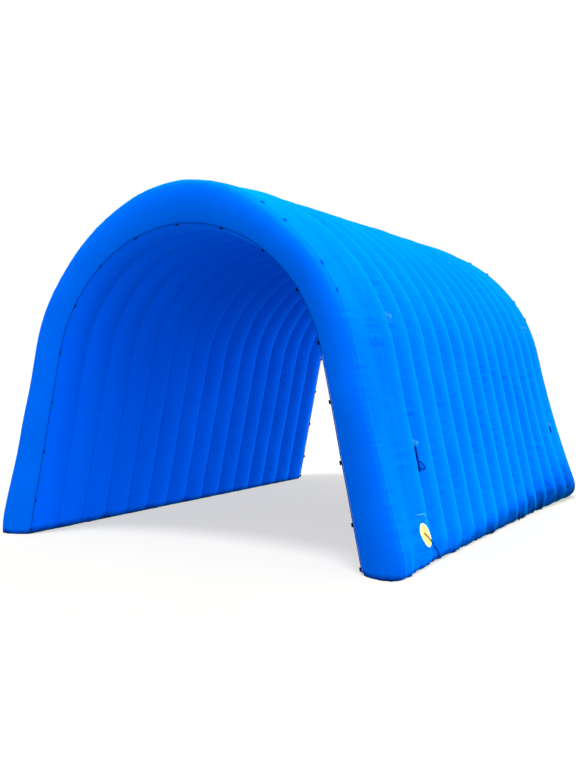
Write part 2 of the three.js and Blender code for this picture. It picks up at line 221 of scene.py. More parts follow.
# Seeds of the random waves. Those of a skin are added to the seed of the skin.
SKIN_SEED = {"inner": 100, "outer": 400}
PUCKER_SEED = 40
PUCKER_STRENGTH_SEED = 140
FINE_PUCKER_SEED = 340
SWELL_SEED = 200
CRUMPLE_SEED = 260
PANEL_SWELL_SEED = 700
PANEL_CRUMPLE_SEED = 760
TAPE_SEED = 811
TAB_SEED = {"inner": 900, "outer": 950}

# Linear colours of the cloth and of its painted light and shade, the webbing and the print.
BLUE = ((0.0, 0.075, 0.505), (0.0, 0.086, 0.555))
MOTTLED_BLUE = (0.0, 0.068, 0.50)
# Painted light: a bluer copy of the cloth for the inner skin, which lies in shade.
INSIDE_PAINTED_LIGHT_BLUE = (0.0, 0.082, 0.64)
# Painted shade, with some dirt, in the folds of the seams.
FOLD_DIRT_AND_SHADE_BLUE = (0.0, 0.036, 0.30)
STITCH_BLUE = (0.0, 0.13, 0.64)
# Painted shade towards the floor: a mid and a deep blue.
FLOOR_SHADE_BLUE = (0.0, 0.014, 0.14)
DEEP_FLOOR_SHADE_BLUE = (0.0, 0.003, 0.028)
# Painted glint, mixed into the anchor tabs.
PAINTED_GLINT_BLUE = (0.02, 0.36, 0.56)
SHEEN_BLUE = (0.0, 0.45, 1.0)
NAVY_YARN = ((0.0, 0.004, 0.030), (0.0, 0.013, 0.080))
MID_BLUE_YARN = ((0.0, 0.030, 0.24), (0.0, 0.046, 0.32))
STRAP_YARN = ((0.0, 0.006, 0.070), (0.0, 0.016, 0.17))
PALE_YARN = ((0.04, 0.38, 0.47), (0.11, 0.55, 0.60))
PRINT_YELLOW = ((0.62, 0.43, 0.030), (0.55, 0.35, 0.022))
PRINT_WHITE = ((0.62, 0.63, 0.59), (0.55, 0.57, 0.55))
FLOOR_GREY = ((0.17, 0.17, 0.17), (0.18, 0.18, 0.18))
FLOOR_GLOW = (1, 0.995, 0.93)

# Weave and stitches of the materials.
CLOTH_WEAVE = 0.0016
WEBBING_WEAVE = 0.0032
STITCH_LINE = 0.009
STITCH_WIDTH = 0.0018
STITCH_PITCH = 0.008
STITCH_SHARE = 0.62
# The inner seam tape is darkened all along, a painted shade.
INNER_TAPE_PAINTED_SHADE = 0.48
# How far the anchor tabs are paled towards a painted glint.
ANCHOR_PAINTED_GLINT = 0.60

LENGTH = CHAMBERS * PITCH
ARCH_ANGLE = math.pi / 2 - SPLAY
SPRING_HEIGHT = CENTRE_HEIGHT + SEAM_RADIUS * math.sin(SPLAY)
ARCH_RUN = SEAM_RADIUS * ARCH_ANGLE
LEG_RUN = SPRING_HEIGHT / math.cos(SPLAY)
RIGHT, LEFT = 1, -1
FRONT, REAR = -1, 1
END_WORDS = {FRONT: "front", REAR: "rear"}
SIDE_WORDS = {RIGHT: "right", LEFT: "left"}
ALONG_TUNNEL = (0, 1, 0)


# The vault. A place is 0 at the top of the arch, 1 where a leg starts and 2 on the floor. A run is the
# length along the inner seams from the top, negative on the left.

def vault(side, place, y, offset):
    """Points at an offset outwards from the line of the inner seams."""
    side, place, y, offset = np.broadcast_arrays(side, place, y, offset)
    radius = SEAM_RADIUS + offset
    angle = math.pi / 2 - np.minimum(place, 1) * ARCH_ANGLE
    height = (CENTRE_HEIGHT + radius * math.sin(SPLAY)) * (2 - place)
    reach = (radius + (CENTRE_HEIGHT - height) * math.sin(SPLAY)) / math.cos(SPLAY)
    leg = place > 1
    x = side * np.where(leg, reach, radius * np.cos(angle))
    z = np.where(leg, height, CENTRE_HEIGHT + radius * np.sin(angle))
    return np.stack([x, y, z], -1)


def place_at_run(run):
    along = np.abs(run)
    return np.where(along < ARCH_RUN, along / ARCH_RUN, 1 + (along - ARCH_RUN) / LEG_RUN)


def run_at_place(place):
    place = np.asarray(place, float)
    return np.where(place < 1, place * ARCH_RUN, ARCH_RUN + (place - 1) * LEG_RUN)


def place_at_height(height):
    return 2 - height / SPRING_HEIGHT


def height_at(place):
    return SPRING_HEIGHT * (2 - place)


def below(place, drop):
    return place + drop / LEG_RUN


def seam_y(seam):
    return seam * PITCH - LENGTH / 2


def end_seam(end):
    return 0 if end == FRONT else CHAMBERS


def behind_front(y):
    return y + LENGTH / 2


def between_seams(values, y):
    """Values that are known at the seams, at any y along the tunnel."""
    return np.interp(behind_front(y) / PITCH, np.arange(CHAMBERS + 1), values)


def smoothstep(value, start, end):
    part = np.clip((value - start) / (end - start), 0, 1)
    return part * part * (3 - 2 * part)


def front_slim(place, y):
    """How much slimmer the wall is behind the front panel."""
    leg = np.maximum(place - 1, 0)
    share = smoothstep(place, SHOULDER_START, SHOULDER_END) * (1 - leg ** FRONT_SLIM_FADE)
    return FRONT_SLIM * share * np.exp(-(behind_front(y) / FRONT_SLIM_REACH) ** 2)


def wall_depth(place, y):
    arch = DEPTH_SPRINGING + (DEPTH_APEX - DEPTH_SPRINGING) * np.maximum(1 - place, 0) ** 2
    leg = np.maximum(place - 1, 0)
    foot = (DEPTH_FOOT - DEPTH_SPRINGING) * np.sin(math.pi / 2 * leg) + between_seams(SPREAD, y) * leg ** 2
    return arch + foot - front_slim(place, y)


def roll_share(roll, place):
    """How far a skin has rolled under near the floor, from 0 to 1."""
    fall = np.clip(1 - height_at(place) / roll[0], 0, 1)
    return 1 - np.sqrt(1 - fall * fall)


def inner_inset(place):
    return ROLL_INSIDE[1] * roll_share(ROLL_INSIDE, place)


def outer_inset(place, y):
    return (ROLL_OUTSIDE[1] + between_seams(TUCK, y)) * roll_share(ROLL_OUTSIDE, place)


def outer_level(place, y):
    return wall_depth(place, y) - outer_inset(place, y)


def ripple(seed, along, waves, count=7):
    """A smooth uneven wave of about unit height, from a shortest and a longest wave."""
    rng = np.random.default_rng(seed)
    lengths = rng.uniform(*waves, count)
    phases = rng.uniform(0, 2 * math.pi, count)
    total = sum(np.sin(2 * math.pi * along / n + p) for n, p in zip(lengths, phases))
    return total / math.sqrt(count)


def unit(vectors):
    return vectors / np.linalg.norm(vectors, axis=-1, keepdims=True)


# Meshes.

def mesh_object(name, points, faces, material, sharp, **point_values):
    mesh = bpy.data.meshes.new(name)
    mesh.from_pydata([tuple(p) for p in points], [], faces)
    for key, values in point_values.items():
        layer = mesh.attributes.new(key, "FLOAT", "POINT")
        layer.data.foreach_set("value", np.asarray(values, np.float32).ravel())
    mesh.materials.append(material)
    mesh.shade_smooth()
    mesh.set_sharp_from_angle(angle=math.radians(SHARP[sharp]))
    obj = bpy.data.objects.new(name, mesh)
    bpy.context.scene.collection.objects.link(obj)
    return obj


def loft_faces(rows, count):
    """Faces of a closed tube of loops with filled ends."""
    row = np.arange(rows - 1)[:, None] * count
    i = np.arange(count)[None, :]
    a = row + i
    b = row + (i + 1) % count
    quads = np.stack([a, b, b + count, a + count], -1).reshape(-1, 4)
    first = list(range(count - 1, -1, -1))
    last = [(rows - 1) * count + k for k in range(count)]
    return quads.tolist() + [first, last]


def inside_out(points, faces):
    volume = 0.0
    for face in faces:
        a = points[face[0]]
        for b, c in zip(face[1:-1], face[2:]):
            volume += np.dot(a, np.cross(points[b], points[c]))
    return volume <= 0


def loft_outward(grid):
    """Faces of a grid of loops that look out of the solid. A coarse copy of it tells which way."""
    rows, count = grid.shape[:2]
    coarse = np.concatenate([grid[:-1:max(1, rows // COARSE_ROWS)], grid[-1:]])
    faces = loft_faces(rows, count)
    if inside_out(coarse.reshape(-1, 3), loft_faces(len(coarse), count)):
        faces = [list(reversed(face)) for face in faces]
    return faces


def loft_object(name, grid, material, sharp, **values):
    return mesh_object(name, grid.reshape(-1, 3), loft_outward(grid), material, sharp, **values)


def dress(obj, slot, *nodes):
    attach(obj, "root")
    if nodes:
        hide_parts(*nodes)
    return obj


# Materials.

def rgba(colour, tint=1.0):
    return (*(channel * tint for channel in colour), 1)


class Nodes:
    """Short words for building a material's nodes."""

    def __init__(self, name):
        self.material = bpy.data.materials.new(name)
        self.material.use_nodes = True
        self.tree = self.material.node_tree
        self.shader = self.tree.nodes["Principled BSDF"]

    def new(self, kind, **settings):
        node = self.tree.nodes.new("ShaderNode" + kind)
        for key, value in settings.items():
            setattr(node, key, value)
        return node

    def set(self, socket, value):
        if isinstance(value, bpy.types.NodeSocket):
            self.tree.links.new(value, socket)
        else:
            socket.default_value = value

    def shade(self, **values):
        """Sets sockets of the shader, with underscores for the spaces in their names."""
        for key, value in values.items():
            self.set(self.shader.inputs[key.replace("_", " ")], value)

    def math(self, operation, a, b=0.0):
        node = self.new("Math", operation=operation)
        self.set(node.inputs[0], a)
        self.set(node.inputs[1], b)
        return node.outputs[0]

    def ramp(self, value, low, high, to_low=0.0, to_high=1.0):
        node = self.new("MapRange", interpolation_type="SMOOTHSTEP")
        self.set(node.inputs["Value"], value)
        for key, number in (("From Min", low), ("From Max", high), ("To Min", to_low), ("To Max", to_high)):
            node.inputs[key].default_value = number
        return node.outputs["Result"]

    def mix(self, factor, a, b):
        node = self.new("Mix", data_type="RGBA")
        self.set(node.inputs[0], factor)
        self.set(node.inputs[6], a)
        self.set(node.inputs[7], b)
        return node.outputs[2]

    def value(self, name):
        return self.new("Attribute", attribute_name=name).outputs["Fac"]

    def noise(self, vector, scale, detail=3.0, rough=0.5):
        node = self.new("TexNoise")
        self.set(node.inputs["Vector"], vector)
        node.inputs["Scale"].default_value = scale
        node.inputs["Detail"].default_value = detail
        node.inputs["Roughness"].default_value = rough
        return node.outputs["Fac"]

    def stretched(self, x, by_x, y, by_y):
        """Two lengths as a flat vector, each stretched by its own factor."""
        node = self.new("CombineXYZ")
        self.set(node.inputs[0], self.math("MULTIPLY", x, by_x))
        self.set(node.inputs[1], self.math("MULTIPLY", y, by_y))
        return node.outputs[0]

    def position(self):
        return self.new("TexCoord").outputs["Object"]

    def bump(self, height, distance, strength, under=None):
        node = self.new("Bump")
        node.inputs["Distance"].default_value = distance
        node.inputs["Strength"].default_value = strength
        self.set(node.inputs["Height"], height)
        if under is not None:
            self.set(node.inputs["Normal"], under)
        return node.outputs["Normal"]

    def weave(self, across, along, pitch):
        """Over and under threads of a plain weave, from two lengths in metres."""
        turn = 2 * math.pi / pitch
        one = self.math("SINE", self.math("MULTIPLY", across, turn))
        two = self.math("SINE", self.math("MULTIPLY", along, turn))
        return self.math("MULTIPLY", one, two)

    def stitches(self, distance, along):
        """1 on a row of stitches that runs beside a seam."""
        off_line = self.math("ABSOLUTE", self.math("SUBTRACT", distance, STITCH_LINE))
        line = self.math("LESS_THAN", off_line, STITCH_WIDTH / 2)
        phase = self.math("FRACT", self.math("DIVIDE", along, STITCH_PITCH))
        return self.math("MULTIPLY", line, self.math("LESS_THAN", phase, STITCH_SHARE))


def cloth_colour(n, stitch, fine, tint, pale):
    """Mottled blue with paler stitches, a bluer inner skin as painted light, painted shade with some dirt in
    the seam folds, painted shade towards the floor and a painted glint.
    """
    place, seam = n.position(), n.value("seam")
    broad = n.noise(place, scale=1.3, detail=2.0)
    blue = n.mix(n.ramp(broad, 0.3, 0.7), rgba(BLUE[0], tint), rgba(BLUE[1], tint))
    blue = n.mix(n.ramp(fine, 0.35, 0.75, to_high=0.3), blue, rgba(MOTTLED_BLUE, tint))
    # Painted light: the inner skin, which lies in shade, gets the bluer copy of the cloth.
    blue = n.mix(n.value("inside"), blue, rgba(INSIDE_PAINTED_LIGHT_BLUE, tint))
    # Painted shade, with some dirt, darkens the cloth close beside each seam.
    blue = n.mix(n.ramp(seam, 0.0, 0.010, to_low=0.22, to_high=0.0), blue, rgba(FOLD_DIRT_AND_SHADE_BLUE, tint))
    blue = n.mix(n.math("MULTIPLY", stitch, 0.4), blue, rgba(STITCH_BLUE, tint))
    # Painted shade towards the floor: mid blue up to the height that low gives, deep blue lowest, with an
    # uneven edge.
    patches = n.math("SUBTRACT", n.noise(place, scale=7.0), 0.5)
    uneven = n.math("ADD", n.value("low"), n.math("MULTIPLY", patches, 0.9))
    blue = n.mix(n.ramp(uneven, 0.2, 1.4, to_low=0.85, to_high=0.0), blue, rgba(FLOOR_SHADE_BLUE))
    blue = n.mix(n.ramp(uneven, 0.0, 0.40, to_low=0.96, to_high=0.0), blue, rgba(DEEP_FLOOR_SHADE_BLUE))
    # A painted glint: the cloth is mixed towards pale blue as far as pale says.
    return n.mix(pale, blue, rgba(PAINTED_GLINT_BLUE)) if pale else blue


def cloth_material(name, tint=1.0, pale=0.0):
    """Coated blue cloth, with a weave, fine gathers beside the seams and a row of stitches."""
    n = Nodes(name)
    seam, run, across = n.value("seam"), n.value("run"), n.value("across")
    fine = n.noise(n.position(), scale=9.0, detail=4.0)
    stitch = n.stitches(seam, run)
    threads = n.bump(n.weave(across, run, CLOTH_WEAVE), distance=0.0001, strength=0.25)
    gathers = n.noise(n.stretched(across, 9.0, run, 75.0), scale=1.0, detail=2.0)
    beside_seam = n.ramp(seam, 0.0, 0.055, to_low=1.0, to_high=0.0)
    normal = n.bump(n.math("MULTIPLY", gathers, beside_seam), distance=0.010, strength=0.45, under=threads)
    creases = n.noise(n.stretched(across, 5.0, run, 9.0), scale=1.0, rough=0.55)
    normal = n.bump(creases, distance=0.016, strength=0.08, under=normal)
    n.shade(
        Base_Color=cloth_colour(n, stitch, fine, tint, pale),
        Roughness=n.ramp(fine, 0.2, 0.8, to_low=0.46, to_high=0.60),
        Specular_IOR_Level=0.0,
        Sheen_Weight=0.22,
        Sheen_Roughness=0.30,
        Sheen_Tint=rgba(SHEEN_BLUE),
        Normal=n.bump(stitch, distance=0.0006, strength=0.6, under=normal),
    )
    return n.material


def webbing_material(name, yarn):
    """Ribbed webbing, woven from a darker and a lighter yarn."""
    n = Nodes(name)
    dark, light = (rgba(colour) for colour in yarn)
    ribs = n.weave(n.value("across"), n.value("run"), WEBBING_WEAVE)
    fibre = n.noise(n.position(), scale=160.0)
    woven = n.mix(n.ramp(ribs, -0.6, 0.8), dark, light)
    n.shade(
        Base_Color=n.mix(n.ramp(fibre, 0.35, 0.7, to_high=0.4), woven, dark),
        Roughness=n.ramp(fibre, 0.2, 0.8, to_low=0.65, to_high=0.9),
        Specular_IOR_Level=0.0,
        Normal=n.bump(fibre, distance=0.0004, strength=0.3,
                      under=n.bump(ribs, distance=0.0006, strength=0.7)),
    )
    return n.material


def patch_material():
    """Printed cloth: a plain yellow disc with a white border."""
    n = Nodes("patch_print")
    worn = n.noise(n.position(), scale=38.0, detail=4.0)
    yellow, white = (
        n.mix(n.ramp(worn, 0.3, 0.75), *(rgba(colour) for colour in pair))
        for pair in (PRINT_YELLOW, PRINT_WHITE)
    )
    weave = n.weave(n.value("across"), n.value("run"), CLOTH_WEAVE)
    n.shade(
        Base_Color=n.mix(n.ramp(n.value("radius"), 0.85, 0.87), yellow, white),
        Roughness=n.ramp(worn, 0.2, 0.8, to_low=0.40, to_high=0.55),
        Specular_IOR_Level=0.3,
        Normal=n.bump(weave, distance=0.0001, strength=0.3),
    )
    return n.material


def floor_material():
    n = Nodes("pale_floor")
    spots = n.noise(n.position(), scale=2.0, detail=2.0)
    n.shade(
        Base_Color=n.mix(spots, *(rgba(colour) for colour in FLOOR_GREY)),
        Roughness=1.0,
        Specular_IOR_Level=0.0,
        Emission_Color=rgba(FLOOR_GLOW),
        Emission_Strength=0.61,
    )
    return n.material


CLOTH = cloth_material("coated_cloth")
# The inner seam tape is a darker copy of the cloth: painted shade.
TAPES = {"inner": cloth_material("inner_seam_tape_painted_shade", tint=INNER_TAPE_PAINTED_SHADE), "outer": CLOTH}
# The anchor tabs are paled towards a painted glint.
ANCHOR = cloth_material("anchor_cloth_painted_glint", pale=ANCHOR_PAINTED_GLINT)
NAVY = webbing_material("navy_webbing", NAVY_YARN)
TABS = {"inner": NAVY, "outer": webbing_material("blue_webbing", MID_BLUE_YARN)}
STRAP_BLUE = webbing_material("strap_webbing", STRAP_YARN)
THREAD = webbing_material("pale_thread", PALE_YARN)


# The camera's place and lens are solved from the picture of the seams.
camera = bpy.data.cameras.new("camera")
camera.sensor_width = 36.0
camera.lens = 42.455
camera.shift_y = -0.0885
eye = bpy.data.objects.new("camera", camera)
eye.location = (4.401, -8.232, 1.423)
eye.rotation_euler = (math.pi / 2 + 0.0615, 0.0, 0.5273)
bpy.context.scene.collection.objects.link(eye)
bpy.context.scene.camera = eye


# Stations from the left foot over the top to the right foot.

def half_stations():
    """Places from the top of the arch down to the floor, closer together where the foot rolls under."""
    foot_top = place_at_height(ROLL_OUTSIDE[0])
    turn = math.pi / 2 * (1 - np.arange(FOOT_STEPS + 1) / FOOT_STEPS)
    arch = np.arange(ARCH_STEPS) / ARCH_STEPS
    leg = 1 + (foot_top - 1) * np.arange(LEG_STEPS) / LEG_STEPS
    foot = place_at_height(ROLL_OUTSIDE[0] * (1 - np.cos(turn)))
    return np.concatenate([arch, leg, foot])


HALF = half_stations()
SIDE = np.concatenate([np.full(len(HALF) - 1, LEFT), np.full(len(HALF), RIGHT)])
PLACE = np.concatenate([HALF[:0:-1], HALF])
RUN = SIDE * run_at_place(PLACE)
HEIGHT = height_at(PLACE)
INSET_INSIDE = inner_inset(PLACE)[:, None]
INSET_PANEL = ROLL_PANEL[1] * roll_share(ROLL_PANEL, PLACE)[:, None]
NEAR_FLOOR = np.exp(-HEIGHT / CRUMPLE_HEIGHT)[:, None]


def base_shade(skin, y):
    """How high the shade at the floor reaches."""
    part = np.clip(behind_front(y) / LENGTH, 0, 1)
    if skin == "inner":
        return SHADE_INSIDE - SHADE_INSIDE_LOSS * part
    front = SHADE_FRONT * np.exp(-(behind_front(y) / SHADE_FRONT_REACH) ** 2)
    return SHADE_OUTSIDE + front + SHADE_REAR * part ** SHADE_REAR_POWER


# Seams wander a little and draw the cloth into puckers that fade out over each side.

def seam_line(seam, skin):
    y = seam_y(seam) + SEAM_WANDER * ripple(SKIN_SEED[skin] + seam, RUN, WANDER_WAVES)
    if skin == "outer" and seam in (0, CHAMBERS):
        y = y + (OUTER_SETBACK if seam == 0 else -OUTER_SETBACK)
    return y


def seam_pucker(seam, skin):
    seed = SKIN_SEED[skin] + seam
    uneven = ripple(seed + PUCKER_STRENGTH_SEED, RUN, PUCKER_STRENGTH_WAVES, count=4)
    strength = np.clip(PUCKER_STRENGTH + PUCKER_STRENGTH_UNEVEN * uneven, *PUCKER_STRENGTH_LIMITS)
    broad = ripple(seed + PUCKER_SEED, RUN, PUCKER_WAVES)
    fine = ripple(seed + FINE_PUCKER_SEED, RUN, FINE_PUCKER_WAVES)
    return strength * (PUCKER_SHARE * broad + FINE_PUCKER_SHARE * fine)


SEAM_Y = {(k, skin): seam_line(k, skin)[:, None] for k in range(CHAMBERS + 1) for skin in SKIN_SEED}
PUCKER = {(k, skin): seam_pucker(k, skin)[:, None] for k in range(CHAMBERS + 1) for skin in SKIN_SEED}


def fade(distance):
    """Nothing on the seam, most a little beside it, then dying out."""
    return distance / PUCKER_REACH * np.exp(1 - distance / PUCKER_REACH)


def foot_bulge(index, skin):
    uneven = FOOT_BULGE_UNEVEN * math.sin(FOOT_BULGE_TURN * index) if skin == "outer" else 0.0
    return FOOT_BULGE[skin] + uneven


def crown_height(index, skin):
    if skin == "inner":
        return CROWN_INSIDE
    return CROWN_END_CHAMBER if index in (0, CHAMBERS - 1) else CROWN_OUTSIDE


# Skins and panels come as columns across a chamber, each with a row for every station: y, offset, the
# way out in y and in offset, distance from the seam, width so far, and height against the shade.

def skin_columns(index, skin):
    """One skin of a chamber from its front seam to its rear seam."""
    outside = skin == "outer"
    facing = 1 if outside else -1
    roll = ROLL_OUTSIDE if outside else ROLL_INSIDE
    seed = SKIN_SEED[skin] + index
    count = SKIN_STEPS[skin]
    u = ((1 - np.cos(math.pi * np.arange(count + 1) / count)) / 2)[None, :]
    front = SEAM_Y[index, skin] + (SEAM_GAP / 2 if index > 0 else 0)
    rear = SEAM_Y[index + 1, skin] - (SEAM_GAP / 2 if index < CHAMBERS - 1 else 0)
    y = front + (rear - front) * u
    before, after = u * PITCH, (1 - u) * PITCH
    share = smoothstep(HEIGHT, 0, roll[0])[:, None]
    crown = crown_height(index, skin) * share * 4 * u * (1 - u)
    pucker = PUCKER_SIZE[skin] * (PUCKER[index, skin] * fade(before) + PUCKER[index + 1, skin] * fade(after))
    swell = np.sin(math.pi * u) * SWELL * ripple(seed + SWELL_SEED, RUN, SWELL_WAVES)[:, None]
    bulge = foot_bulge(index, skin) + CRUMPLE * ripple(seed + CRUMPLE_SEED, y, CRUMPLE_WAVES)
    level = wall_depth(PLACE[:, None], y) if outside else 0.0
    offset = level + facing * (crown + pucker + swell + NEAR_FLOOR * np.sin(math.pi * u) * bulge)
    if outside and index in (SOFT_SEAM - 1, SOFT_SEAM):
        off_seam = after if index < SOFT_SEAM else before
        offset = offset + SOFT_SEAM_FILL * CROWN_OUTSIDE * share * np.exp(-(off_seam / SOFT_SEAM_REACH) ** 2)
    calm = OUTER_CALM if outside else 0 * OUTER_CALM
    gap = np.minimum(before + calm[index], after + calm[index + 1]) + 0 * y
    width = before + 0 * y + index * PITCH
    low = HEIGHT[:, None] / base_shade(skin, y)
    return y, offset, np.zeros_like(y), np.full_like(y, facing), gap, width, low


def panel_columns(end):
    """The crowned end panel from the inner seam to the outer seam, without the seams themselves."""
    seam = end_seam(end)
    t = (np.arange(1, PANEL_STEPS) / PANEL_STEPS)[None, :]
    inner, outer = SEAM_Y[seam, "inner"], SEAM_Y[seam, "outer"]
    depth = wall_depth(PLACE, seam_y(seam))[:, None]
    w0, w1, w2, w3 = (1 - t) ** 3, 3 * (1 - t) ** 2 * t, 3 * (1 - t) * t * t, t ** 3
    y = (w0 * inner + w1 * (inner + end * PANEL_INNER[0])
         + w2 * (outer + end * PANEL_OUTER[0]) + w3 * outer)
    offset = w1 * PANEL_INNER[1] + w2 * (depth - PANEL_OUTER[1]) + w3 * depth
    out_y = end * np.sin(math.pi * t) + 0 * y
    out_offset = -np.cos(math.pi * t) + 0 * y
    width = PANEL_CLOTH_WIDTH * t + 0 * y
    before, after = width, PANEL_CLOTH_WIDTH - width
    puckers = PUCKER[seam, "inner"] * fade(before) + PUCKER[seam, "outer"] * fade(after)
    swell = PANEL_SWELL * ripple(PANEL_SWELL_SEED + seam, RUN, PANEL_SWELL_WAVES)[:, None]
    crumple = PANEL_CRUMPLE * NEAR_FLOOR * ripple(PANEL_CRUMPLE_SEED + seam, width, PANEL_CRUMPLE_WAVES)
    lift = PUCKER_SIZE["panel"] * puckers + np.sin(math.pi * t) * (swell + crumple)
    gap = np.minimum(before, after + OUTER_CALM[seam])
    low = HEIGHT[:, None] / base_shade("outer", y)
    return y + lift * out_y, offset + lift * out_offset, out_y, out_offset, gap, width, low


def flipped(columns):
    return [column[:, ::-1] for column in columns]


OUTER_CLOTH = []


def chamber(index):
    """One chamber as a loft along the vault: its inner skin, its outer skin and any end panel."""
    outer = skin_columns(index, "outer")
    OUTER_CLOTH.append((outer[0], outer[1] - outer_inset(PLACE[:, None], outer[0])))
    parts = [skin_columns(index, "inner")]
    if index == CHAMBERS - 1:
        parts.append(panel_columns(REAR))
    parts.append(flipped(outer))
    if index == 0:
        parts.append(flipped(panel_columns(FRONT)))
    y, offset, out_y, out_offset, gap, width, low = (np.concatenate(columns, 1) for columns in zip(*parts))
    inset = np.where(out_offset > 0, outer_inset(PLACE[:, None], y), INSET_INSIDE)
    grid = vault(SIDE[:, None], PLACE[:, None], y - INSET_PANEL * out_y, offset - inset * out_offset)
    inside = np.zeros_like(y)
    inside[:, :SKIN_STEPS["inner"] + 1] = 1.0
    name = "chamber_%02d" % (index + 1)
    values = dict(seam=gap, run=RUN[:, None] + 0 * y, across=width, low=low, inside=inside)
    obj = loft_object(name + "_cloth", grid, CLOTH, "cloth", **values)
    dress(obj, "cloth", name)


for number in range(CHAMBERS):
    chamber(number)


def cloth_offset(place, y):
    """Offset of the finished outer cloth at one point of the right wall."""
    across, offset = OUTER_CLOTH[int(behind_front(y) / PITCH)]
    row = float(np.interp(place, HALF, np.arange(len(HALF))))
    row_above = min(int(row), len(HALF) - 2)
    first = row_above + len(HALF) - 1
    here, there = (np.interp(y, across[k], offset[k]) for k in (first, first + 1))
    return here + (there - here) * (row - row_above)


# Seam tapes and their folded tabs.

def stand_section(end, skin, run, section):
    """Points of a section of (half thickness, reach) rows, standing on a seam at each run."""
    place = place_at_run(run)
    y = np.interp(run, RUN, SEAM_Y[end_seam(end), skin][:, 0])
    root = outer_level(place, y) if skin == "outer" else inner_inset(place)
    facing = 1 if skin == "outer" else -1
    away_y, away_offset = end * math.sin(TAPE_LEAN[skin]), facing * math.cos(TAPE_LEAN[skin])
    thick, reach = section[..., 0], section[..., 1]
    point_y = y[:, None] + reach * away_y - thick * away_offset
    point_offset = root[:, None] + reach * away_offset + thick * away_y
    return vault(np.where(run < 0, LEFT, RIGHT)[:, None], place[:, None], point_y, point_offset)


def seam_tape(end, skin):
    limit = float(run_at_place(place_at_height(TAPE_END_HEIGHT)))
    run = np.concatenate([[-limit], RUN[np.abs(RUN) < limit - TAPE_END_ROOM], [limit]])
    reach = TAPE_REACH[skin]
    rows = (("root", TAPE_ROOT), ("shoulder", reach * TAPE_SHOULDER), ("tip", reach))
    one_side = [(TAPE_HALF_THICKNESS[key], at) for key, at in rows]
    other_side = [(-half, at) for half, at in one_side]
    form = np.array(other_side[:1] + one_side + other_side[:0:-1])
    section = np.repeat(form[None], len(run), 0)
    section[..., 0] += TAPE_WAVE * ripple(TAPE_SEED + end, run, TAPE_WAVES)[:, None] * (form[:, 1] / reach)
    grid = stand_section(end, skin, run, section)
    height = height_at(place_at_run(run))[:, None]
    values = dict(seam=TAPE_OFF_SEAM - section[..., 1], run=run[:, None] + 0 * section[..., 0],
                  across=section[..., 1], low=height / base_shade(skin, grid[..., 1]))
    name = END_WORDS[end] + "_" + skin + "_tape"
    dress(loft_object(name + "_cloth", grid, TAPES[skin], "tape", **values), "cloth", name)


# A tab's section of half thicknesses and shares of its reach, its steps along the seam, how much
# thinner and shorter it is at its ends, and how uneven from tab to tab.
TAB_FORM = np.array([
    (0.0010, 0.08), (0.0022, 0.30), (0.0025, 0.62), (0.0025, 0.84), (0.0018, 0.96), (0.0, 1.0),
    (-0.0018, 0.96), (-0.0025, 0.84), (-0.0025, 0.62), (-0.0022, 0.30), (-0.0010, 0.08),
])
TAB_STEPS = np.array([-1, -0.94, -0.4, 0.4, 0.94, 1])
TAB_ROOT = 0.002
TAB_END_ROOT = 0.0025
TAB_END_THIN = 0.6
TAB_END_SHORT = 0.94
TAB_UNEVEN_REACH = (0.86, 1.0)
TAB_UNEVEN_LEAN = (-0.12, 0.12)


def tab_section(skin, number):
    """The section of one tab at each step: thinner and shorter at its ends, uneven from tab to tab."""
    rng = np.random.default_rng(TAB_SEED[skin] + number)
    section = np.repeat((TAB_FORM * (1, TAB_REACH[skin]))[None], len(TAB_STEPS), 0)
    ends = section[[0, -1]]
    section[[0, -1], :, 0] = TAB_END_THIN * ends[..., 0]
    section[[0, -1], :, 1] = TAB_END_ROOT + (ends[..., 1] - TAB_ROOT) * TAB_END_SHORT
    section[..., 1] *= rng.uniform(*TAB_UNEVEN_REACH)
    section[..., 0] += section[..., 1] * rng.uniform(*TAB_UNEVEN_LEAN)
    return section


def seam_tabs(end, skin, runs):
    """Folded pieces of webbing sewn into a seam, all of one seam in one mesh."""
    grids, faces, along, across = [], [], [], []
    for number, middle in enumerate(runs):
        steps = middle + TAB_LENGTH / 2 * TAB_STEPS
        section = tab_section(skin, number)
        grid = stand_section(end, skin, steps, section)
        start = number * len(TAB_STEPS) * len(TAB_FORM)
        faces += [[i + start for i in face] for face in loft_outward(grid)]
        grids.append(grid)
        along.append(steps[:, None] + 0 * section[..., 0])
        across.append(section[..., 1])
    points = np.concatenate(grids).reshape(-1, 3)
    values = dict(run=np.concatenate(along), across=np.concatenate(across))
    name = END_WORDS[end] + "_" + skin + "_tabs"
    dress(mesh_object(name, points, faces, TABS[skin], "tab", **values), "webbing")


end_run = float(run_at_place(place_at_height(END_TAB_HEIGHT)))
even_runs = [i * TAB_PITCH + TAB_SHIFT for i in range(-TABS_EACH_SIDE, TABS_EACH_SIDE + 1)]
TAB_RUNS = {"inner": [-end_run, *even_runs, end_run], "outer": run_at_place(OUTER_TAB_PLACES).tolist()}
for which in (FRONT, REAR):
    for skin_word in TAB_RUNS:
        seam_tape(which, skin_word)
    for skin_word, tab_runs in TAB_RUNS.items():
        seam_tabs(which, skin_word, tab_runs)


# Bands and round cords. A band has this section of shares of its width and thickness, and a cord
# starts its rounds on one way.
BAND_FORM = np.array([
    (-0.5, -0.2), (-0.46, -0.5), (0.46, -0.5), (0.5, -0.2),
    (0.5, 0.2), (0.46, 0.5), (-0.46, 0.5), (-0.5, 0.2),
])
TUBE_WAY = (1.0, 0, 0.2)


